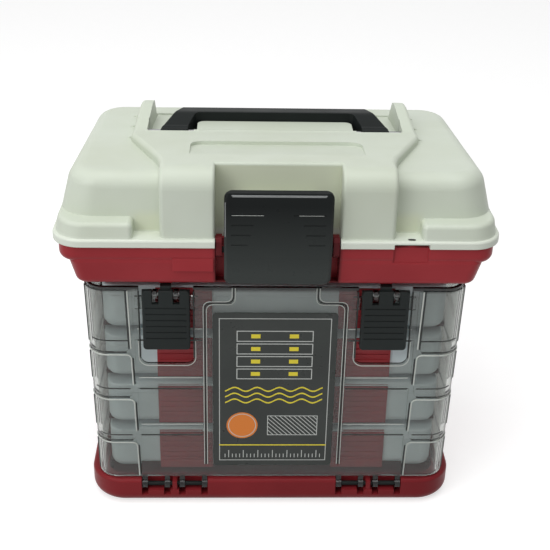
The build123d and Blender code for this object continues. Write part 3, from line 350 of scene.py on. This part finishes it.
def smoked(name):
    """Smoked clear plastic that lets lamps through, with painted shade at the hinge fingers and along the
    top edge.
    """
    tint_scale, gloss_scale, gloss_noise, gloss = 10.0, 70.0, (0.35, 0.7), (0.012, 0.03)
    material, tree, surface = shader(name)
    tint = blend_colours(tree, mottle(tree, tint_scale), SMOKE, SMOKE_SHADE)
    between_edges = band(tree, place_axes(tree)["Z"], *DOOR_CLEAR, soft=0.0012)
    tree.links.new(blend_colours(tree, between_edges, SMOKE_PAINTED_SHADE, tint), surface.inputs["Base Color"])
    uneven = spread(tree, noise(tree, gloss_scale, detail=4.0), *gloss_noise, *gloss)
    tree.links.new(uneven, surface.inputs["Roughness"])
    surface.inputs["Transmission Weight"].default_value = 1.0
    surface.inputs["IOR"].default_value = 1.45
    clear = add_node(tree, "ShaderNodeBsdfTransparent", Color=SMOKE_LAMPLIGHT)
    rays = tree.nodes.new("ShaderNodeLightPath")
    choose = tree.nodes.new("ShaderNodeMixShader")
    tree.links.new(rays.outputs["Is Shadow Ray"], choose.inputs[0])
    tree.links.new(surface.outputs[0], choose.inputs[1])
    tree.links.new(clear.outputs[0], choose.inputs[2])
    tree.links.new(choose.outputs[0], tree.nodes["Material Output"].inputs["Surface"])
    return material


def frosted(name, alpha):
    """Milky see-through plastic of the utility boxes."""
    drift_scale, gloss_scale, gloss = 20.0, 90.0, (0.28, 0.4)
    material, tree, surface = shader(name)
    colour = blend_colours(tree, mottle(tree, drift_scale), FROST, FROST_SHADE)
    tree.links.new(colour, surface.inputs["Base Color"])
    tree.links.new(mottle(tree, gloss_scale, *gloss, detail=4.0), surface.inputs["Roughness"])
    surface.inputs["Alpha"].default_value = alpha
    return material


def brushed(name):
    """Drawn steel wire: fine streaks along X."""
    streak_scale, gloss = (30.0, 2500.0, 2500.0), (0.3, 0.45)
    material, tree, surface = shader(name)
    stretch = add_node(tree, "ShaderNodeMapping", Vector=place(tree), Scale=streak_scale)
    texture = add_node(tree, "ShaderNodeTexNoise", Vector=stretch.outputs[0], Scale=1.0, Detail=3.0)
    streaks = texture.outputs["Fac"]
    share = spread(tree, streaks, *NOISE_RANGE, 0.0, 1.0)
    tree.links.new(blend_colours(tree, share, STEEL, STEEL_BRIGHT), surface.inputs["Base Color"])
    tree.links.new(spread(tree, streaks, *NOISE_RANGE, *gloss), surface.inputs["Roughness"])
    surface.inputs["Metallic"].default_value = 1.0
    return material


def label_print(tree):
    """Masks and inks of the label's design, in millimetres from its middle and up from its foot."""
    low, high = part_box("door_label")
    x, _, z = place_axes(tree)
    across = math_node(tree, "MULTIPLY", x, MM_PER_M)
    up = math_node(tree, "MULTIPLY", math_node(tree, "SUBTRACT", z, low.z), MM_PER_M)
    half_width, height = MM_PER_M * high.x, MM_PER_M * (high.z - low.z)

    def strip(value, start, end):
        return math_node(tree, "COMPARE", value, (start + end) / 2, (end - start) / 2)

    def both(first, second):
        return math_node(tree, "MULTIPLY", first, second)

    def oblong(left, right, bottom, top):
        return both(strip(across, left, right), strip(up, bottom, top))

    def outline(left, right, bottom, top, line):
        inner = oblong(left + line, right - line, bottom + line, top - line)
        return math_node(tree, "SUBTRACT", oblong(left, right, bottom, top), inner)

    def away_from(x, z):
        dx = math_node(tree, "SUBTRACT", across, x)
        dz = math_node(tree, "SUBTRACT", up, z)
        return math_node(tree, "SQRT", math_node(tree, "ADD", both(dx, dx), both(dz, dz)))

    def every(value, pitch, line):
        return strip(math_node(tree, "PINGPONG", value, pitch / 2), -1.0, line / 2)

    margin, line = 4.0, 0.5
    edge = half_width - margin
    layers = [(outline(-edge, edge, margin, height - margin, line), LABEL_LIGHT)]
    # four boxes with two catches each
    box_pitch, box_height, box_half, boxes_foot, box_line = 9.6, 8.2, 25.0, 70.0, 0.6
    catch_middle, catch_half, catch_foot, catch_top = 12.5, 3.0, 2.6, 5.6
    for index in range(4):
        foot = boxes_foot + box_pitch * index
        layers.append((outline(-box_half, box_half, foot, foot + box_height, box_line), LABEL_LIGHT))
        for side in (-1, 1):
            middle = catch_middle * side
            catch = oblong(middle - catch_half, middle + catch_half, foot + catch_foot, foot + catch_top)
            layers.append((catch, LABEL_YELLOW))
    # waves below them
    wave_rate, wave_height, wave_half, wave_margin = 0.42, 1.5, 0.55, 4.0
    swing = math_node(tree, "SINE", math_node(tree, "MULTIPLY", across, wave_rate))
    swing = math_node(tree, "MULTIPLY", swing, wave_height)
    for foot in (62.0, 57.4, 52.8):
        crest = math_node(tree, "SUBTRACT", math_node(tree, "SUBTRACT", up, foot), swing)
        within = strip(across, wave_margin - edge, edge - wave_margin)
        layers.append((both(strip(crest, -wave_half, wave_half), within), LABEL_YELLOW))
    # disc with a ring, beside a hatched panel
    disc_middle, disc_radius, ring_from, ring_to = (-21.0, 33.0), 10.5, 8.9, 9.4
    from_disc = away_from(*disc_middle)
    layers.append((strip(from_disc, -1.0, disc_radius), LABEL_ORANGE))
    layers.append((strip(from_disc, ring_from, ring_to), LABEL_LIGHT))
    panel, hatch_pitch, hatch_line = (-4.0, 30.0, 25.0, 41.0), 3.2, 0.7
    slanted = math_node(tree, "ADD", across, up)
    layers.append((both(every(slanted, hatch_pitch, hatch_line), oblong(*panel)), LABEL_LIGHT))
    layers.append((outline(*panel, line), LABEL_LIGHT))
    # ruler along the foot, with short and long ticks
    ruler_foot, ruler_top, ticks_foot, ticks_margin = 16.4, 17.3, 6.5, 3.0
    layers.append((oblong(-edge, edge, ruler_foot, ruler_top), LABEL_YELLOW))
    for pitch, tick in ((2.5, 3.0), (10.0, 6.0)):
        span = oblong(ticks_margin - edge, edge - ticks_margin, ticks_foot, ticks_foot + tick)
        layers.append((both(every(across, pitch, line), span), LABEL_LIGHT))
    return layers


def printed(name):
    """Printed label film: a design of boxes, waves, a disc, hatching and a ruler on a dark ground."""
    fade_scale, gloss_scale, gloss = 30.0, 90.0, (0.26, 0.36)
    material, tree, surface = shader(name)
    surface.inputs["Specular IOR Level"].default_value = 0.3
    colour = blend_colours(tree, mottle(tree, fade_scale), LABEL_DARK, LABEL_FADED)
    for mask, ink in label_print(tree):
        colour = blend_colours(tree, mask, colour, ink)
    tree.links.new(colour, surface.inputs["Base Color"])
    tree.links.new(mottle(tree, gloss_scale, *gloss), surface.inputs["Roughness"])
    return material


cream = moulded("cream_plastic", CREAM, CREAM_WARM, rough=0.42, grain=0.10,
                painted_light_and_shade=((lid_painted_shade, CREAM_PAINTED_SHADE), (rim_painted_light, CREAM_PAINTED_LIGHT), (slot_painted_shade, SLOT_PAINTED_SHADE)))
red = moulded("red_plastic", RED, RED_DEEP, rough=0.34, grain=0.07, shine=0.12,
              painted_light_and_shade=((latch_bay_painted_shade, RED_BAY_PAINTED_SHADE),))
red_rack = moulded("red_rack_plastic", RED, RED_DEEP, rough=0.34, grain=0.07, shine=0.12,
                   painted_light_and_shade=((rack_inside, RED_INSIDE),))
# The base gets a darker copy of the red as painted shade
red_base_painted_shade = moulded("red_plastic_painted_shade", RED_PAINTED_SHADE, RED_DEEP_PAINTED_SHADE, rough=0.36, grain=0.07, shine=0.10)
black = moulded("black_plastic", BLACK, BLACK_WORN, rough=0.36, grain=0.10, shine=0.09)
latch_black = moulded("latch_black_plastic", LATCH_BLACK, BLACK, rough=0.30, grain=0.10, shine=0.09,
                      painted_light_and_shade=((latch_painted_reflection, LATCH_PAINTED_REFLECTION),))
door_latch_black = moulded("door_latch_plastic", DOOR_LATCH_BLACK, BLACK_WORN, rough=0.36, grain=0.10,
                           shine=0.12)
# Materials of painted highlights and painted shade for the edge beads
painted_edge_highlight = moulded("painted_edge_highlight", EDGE_PAINTED_HIGHLIGHT, EDGE_PAINTED_HIGHLIGHT_DIM, rough=0.25, grain=0.0)
# Painted highlights on the lid latch's edges
latch_painted_highlight = moulded("latch_painted_highlight", EDGE_PAINTED_HIGHLIGHT_GREY, EDGE_PAINTED_HIGHLIGHT_GREY_DIM, rough=0.25, grain=0.0)
painted_edge_shade = moulded("painted_edge_shade", EDGE_PAINTED_SHADE, EDGE_PAINTED_SHADE_PALE, rough=0.3, grain=0.0)
box_latch_red = moulded("latch_plastic", RED, RED_DEEP, rough=0.4, grain=0.05, edge=0.0003)
smoke = smoked("smoked_plastic")
clear_box = frosted("clear_box_plastic", alpha=0.78)
wire = brushed("pin_wire")
label_film = printed("label_film")

SLOT_MATERIALS = {
    "cream": cream,
    "red": red,
    "black": black,
    "box_latch": box_latch_red,
    "smoke": smoke,
    "clear": clear_box,
    "pins": wire,
    "label": label_film,
}
NODE_MATERIALS = {
    "base_pan": red_base_painted_shade,
    "rack_frame": red_rack,
    "lid_latch_pin": black,
    "lid_latch": latch_black,
    "door_latch_left": door_latch_black,
    "door_latch_right": door_latch_black,
}
for part in frame["record"]["subparts"]:
    mesh = nodes[part["node"]].data
    mesh.materials.clear()
    mesh.materials.append(NODE_MATERIALS.get(part["node"], SLOT_MATERIALS[part["material_slot"]]))


# Painted highlights and painted shade on beads along the edges of the door's tiles, ribs and panel and of
# the lid latch
def beads(name, paths, width, material, body):
    """Thin round beads along the paths, as one mesh that moves with a body."""
    curve = bpy.data.curves.new(name, "CURVE")
    curve.dimensions = "3D"
    curve.bevel_depth = width / 2
    curve.bevel_resolution = 2
    curve.use_fill_caps = True
    for points in paths:
        spline = curve.splines.new("POLY")
        spline.points.add(len(points) - 1)
        for knot, point in zip(spline.points, points):
            knot.co = (*point, 1.0)
    drawn = bpy.data.objects.new(name + "_curve", curve)
    bpy.context.scene.collection.objects.link(drawn)
    mesh = bpy.data.meshes.new_from_object(drawn.evaluated_get(bpy.context.evaluated_depsgraph_get()))
    bpy.data.objects.remove(drawn)
    mesh.name = name
    mesh.materials.clear()
    mesh.materials.append(material)
    mesh.shade_smooth()
    piece = bpy.data.objects.new(name, mesh)
    bpy.context.scene.collection.objects.link(piece)
    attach(piece, body)


def turned(degrees, radius):
    """Sine and cosine of an angle, times a radius."""
    angle = math.radians(degrees)
    return radius * math.sin(angle), radius * math.cos(angle)


def door_flat(z):
    """Half length of the door's flat front at a height."""
    share = (z - DOOR_LOW) / (DOOR_HIGH - DOOR_LOW)
    return DOOR_HALF_LOW + (DOOR_HALF_HIGH - DOOR_HALF_LOW) * share - DOOR_CORNER


def door_face(x, z, rise=0.0):
    """Point on the door's flat front."""
    return (x, DOOR_FRONT - rise, z)


def door_round(side, z, rise, degrees):
    """Point on one of the door's round corners, from 0 degrees in front to 90 at the side."""
    out, ahead = turned(degrees, DOOR_CORNER + rise)
    return (side * (door_flat(z) + out), DOOR_FRONT + DOOR_CORNER - ahead, z)


def door_corner(side, z, rise=0.0):
    """Points round one of the door's corners, from its side to its front."""
    return [door_round(side, z, rise, degrees) for degrees in CORNER_TURNS]


def tile_inner(z):
    """Distance from the middle to the corner tiles' inner edge, which leans like the door's ends."""
    return TILE_INNER + TILE_INNER_GAIN * (z - TILE_INNER_LOW) / TILE_INNER_RUN


def tile_edges(side, light, dark):
    """Painted highlights on the rounded top edge and inner edge of each tile, with painted shade beside
    them.
    """
    for top, foot in TILES:
        inner = tile_inner(top)
        start = inner + TILE_BEND
        run = [start + (door_flat(top) - start) * i / 4 for i in (3, 2, 1, 0)]
        ledge = door_corner(side, top, TILE_RISE) + [door_face(side * x, top, TILE_RISE) for x in run]
        for degrees in BEND_TURNS:
            in_by, up_by = turned(degrees, TILE_BEND)
            ledge.append(door_face(side * (start - in_by), top - TILE_BEND + up_by, TILE_RISE))
        ledge.append(door_face(side * tile_inner(foot), foot, TILE_RISE))
        light.append(ledge)
        shade = top + LEDGE_SHADE
        dark.append(door_corner(side, shade) + [door_face(side * x, shade) for x in run])
        dark.append([door_face(side * (inner - TILE_SHADE), top - TILE_BEND),
                     door_face(side * (tile_inner(foot) - TILE_SHADE), foot)])
    # the upmost tile shows its inner edge only
    for gap, group in ((0.0, light), (TOP_TILE_SHADE, dark)):
        group.append([door_face(side * (tile_inner(z) + gap), z, TILE_RISE) for z in TOP_TILE])


def corner_glints(side, dark, fine):
    """Painted upright glints on the round corner, tile by tile, and its outline in painted shade."""
    stretches = [(top - GLINT_GAP, foot) for top, foot in TILES] + [GLINT_TOP_TILE]
    for top, foot in stretches:
        for degrees, group in zip(GLINT_TURNS, (fine, fine, dark)):
            group.append([door_round(side, z, TILE_RISE, degrees) for z in (foot, top)])


def rib_edges(side, dark, fine):
    """Painted highlights and painted shade along the ribs between the levels, with a faint run of painted
    shade across the tiles and round the corner.
    """
    for level, base in RIBS:
        z, rise = level - RIB_LINE_BELOW, base - RIB_RUN_DEPTH
        run = [door_face(side * (RIB_RUN_START + RIB_RUN_STEP * i), z, rise) for i in range(3)]
        dark.append(run + [door_round(side, z, rise, degrees) for degrees in RIB_RUN_TURNS])
    for level, _ in RIBS:
        for z, depth, group in ((level + RIB_LINE_ABOVE, RIB_LINE_DEPTH, fine),
                                (level - RIB_LINE_BELOW, 0.0, dark)):
            group.append([door_face(side * x, z, -depth) for x in (RIB_START, RIB_END)])


def panel_groove(side, dark, fine):
    """Painted highlights on both lips of the groove round the middle panel, and painted shade on its
    bottom.
    """
    for offset, depth, group in ((GROOVE_HALF, 0.0, fine), (-GROOVE_HALF, 0.0, fine),
                                 (0.0, GROOVE_DEPTH, dark)):
        wide, neck, high = PANEL_HALF + offset, NECK_HALF + offset, NECK_FOOT + offset
        path = [(wide, PANEL_FOOT), (wide, high - GROOVE_BEND)]
        for degrees in BEND_TURNS:
            up_by, out_by = turned(degrees, GROOVE_BEND)
            path.append((wide - GROOVE_BEND + out_by, high - GROOVE_BEND + up_by))
        for degrees in (0, *BEND_TURNS):
            in_by, down_by = turned(degrees, GROOVE_BEND)
            path.append((neck + GROOVE_BEND - in_by, high + GROOVE_BEND - down_by))
        path.append((neck, NECK_TOP))
        group.append([door_face(side * x, z, -depth) for x, z in path])


def notch_edges(side, dark, fine):
    """Painted shade along the sides of a latch notch, and a painted highlight on the lip round its foot.
    """
    middle, bend = side * NOTCH_MIDDLE, NOTCH_FOOT + NOTCH_ROUND
    for flank in (-1, 1):
        edge = middle + flank * (NOTCH_HALF + NOTCH_SIDE_GAP)
        dark.append([door_face(edge, NOTCH_TOP), door_face(edge, bend)])
    lip = [door_face(middle - NOTCH_HALF - NOTCH_LIP, NOTCH_LIP_TOP)]
    for flank, turns in ((-1, NOTCH_TURNS), (1, reversed(NOTCH_TURNS))):
        corner = middle + flank * (NOTCH_HALF - NOTCH_ROUND)
        for degrees in turns:
            down_by, out_by = turned(degrees, NOTCH_ROUND + NOTCH_LIP)
            lip.append(door_face(corner + flank * out_by, bend - down_by))
    lip.append(door_face(middle + NOTCH_HALF + NOTCH_LIP, NOTCH_LIP_TOP))
    fine.append(lip)


def add_door_edges():
    """Painted highlights, painted shade and fine painted highlights, as beads along the edges of both
    halves of the door.
    """
    light, dark, fine = [], [], []
    for side in (-1, 1):
        tile_edges(side, light, dark)
        corner_glints(side, dark, fine)
        rib_edges(side, dark, fine)
        panel_groove(side, dark, fine)
        notch_edges(side, dark, fine)
    beads("door_edges_light", light, LIGHT_WIDTH, painted_edge_highlight, "door")
    beads("door_edges_dark", dark, DARK_WIDTH, painted_edge_shade, "door")
    beads("door_edges_fine", fine, FINE_WIDTH, painted_edge_highlight, "door")


def add_latch_edges():
    """Painted highlights on the edges of the lid latch: along its top and left side, and on the lip of
    its upper grooves.
    """
    highlight_lines = [[(end * (LATCH_HALF - inset), LATCH_FACE + depth, z) for end in (-1, 1)]
            for inset, depth, z in LATCH_BEVEL_LINES]
    highlight_lines.append([(LATCH_SIDE_INSET - LATCH_HALF, LATCH_FACE + LATCH_SIDE_INSET, z)
                 for z in (LATCH_SIDE_TOP, LATCH_SIDE_FOOT)])
    groove_y = LATCH_FACE + LATCH_GROOVE_DEPTH
    lines = [[(x, groove_y, LATCH_GROOVE_LEVEL) for x in ends] for ends in LATCH_GROOVES]
    beads("latch_edges", highlight_lines, LATCH_EDGE_WIDTH, latch_painted_highlight, "front_latch")
    beads("latch_lines", lines, LATCH_LINE_WIDTH, painted_edge_highlight, "front_latch")


add_door_edges()
add_latch_edges()


def aim_camera():
    """Camera at its fitted place, turned by its yaw, its pitch and its roll."""
    cos_pitch, sin_pitch = math.cos(PITCH_DOWN), math.sin(PITCH_DOWN)
    forward = Vector((math.sin(YAW) * cos_pitch, math.cos(YAW) * cos_pitch, -sin_pitch))
    right = Vector((math.cos(YAW), -math.sin(YAW), 0.0))
    down = forward.cross(right)
    rolled_right = math.cos(ROLL) * right + math.sin(ROLL) * down
    rolled_down = -math.sin(ROLL) * right + math.cos(ROLL) * down
    turn = Matrix((rolled_right, -rolled_down, -forward)).transposed().to_4x4()
    data = bpy.data.cameras.new("camera")
    data.sensor_width = SENSOR_MM
    data.lens = SENSOR_MM * FOCAL_PIXELS / IMAGE_PIXELS
    camera = bpy.data.objects.new("camera", data)
    camera.matrix_world = Matrix.Translation(CAMERA_PLACE) @ turn
    bpy.context.scene.collection.objects.link(camera)
    bpy.context.scene.camera = camera


# Studio: even surroundings, a pale floor and three soft lamps, overhead, in front and at the left
def background_share(tree):
    """1 for rays that should see a white background: from the camera, by reflection and through glass."""
    rays = tree.nodes.new("ShaderNodeLightPath")
    seen = math_node(tree, "MAXIMUM", rays.outputs["Is Camera Ray"], rays.outputs["Is Glossy Ray"])
    return math_node(tree, "MAXIMUM", seen, rays.outputs["Is Transmission Ray"])


def light_surroundings():
    """World that looks white and lights the part with a lower strength."""
    world = bpy.data.worlds.new("studio")
    world.use_nodes = True
    bpy.context.scene.world = world
    tree = world.node_tree
    surface = tree.nodes["Background"]
    surface.inputs["Color"].default_value = WHITE
    strength = spread(tree, background_share(tree), 0.0, 1.0, WORLD_LIGHT, 1.0)
    tree.links.new(strength, surface.inputs["Strength"])


def lay_floor():
    """Pale floor that glows where it is the background, so that it looks white around the shadow."""
    bpy.ops.mesh.primitive_plane_add(size=FLOOR_SIZE, location=(0.0, 0.0, FLOOR_LEVEL))
    floor = bpy.context.object
    floor.name = "floor"
    material, tree, surface = shader("pale_floor")
    grain = mottle(tree, FLOOR_GRAIN_SCALE)
    tree.links.new(blend_colours(tree, grain, FLOOR, FLOOR_PALER), surface.inputs["Base Color"])
    surface.inputs["Roughness"].default_value = 0.9
    surface.inputs["Specular IOR Level"].default_value = 0.1
    surface.inputs["Emission Color"].default_value = WHITE
    glow = spread(tree, background_share(tree), 0.0, 1.0, 0.0, FLOOR_GLOW)
    tree.links.new(glow, surface.inputs["Emission Strength"])
    floor.data.materials.append(material)


def hang_lamp(name, location, size, power):
    """Soft rectangular lamp that points at the part's middle."""
    data = bpy.data.lights.new(name, "AREA")
    data.shape = "RECTANGLE"
    data.size, data.size_y = size
    data.energy = power
    lamp = bpy.data.objects.new(name, data)
    lamp.location = location
    lamp.rotation_euler = (LAMP_TARGET - Vector(location)).to_track_quat("-Z", "Y").to_euler()
    bpy.context.scene.collection.objects.link(lamp)


aim_camera()
light_surroundings()
lay_floor()
for lamp_name, lamp_location, lamp_size, lamp_power in LAMPS:
    hang_lamp(lamp_name, lamp_location, lamp_size, lamp_power)
bpy.context.scene.view_settings.view_transform = "Standard"
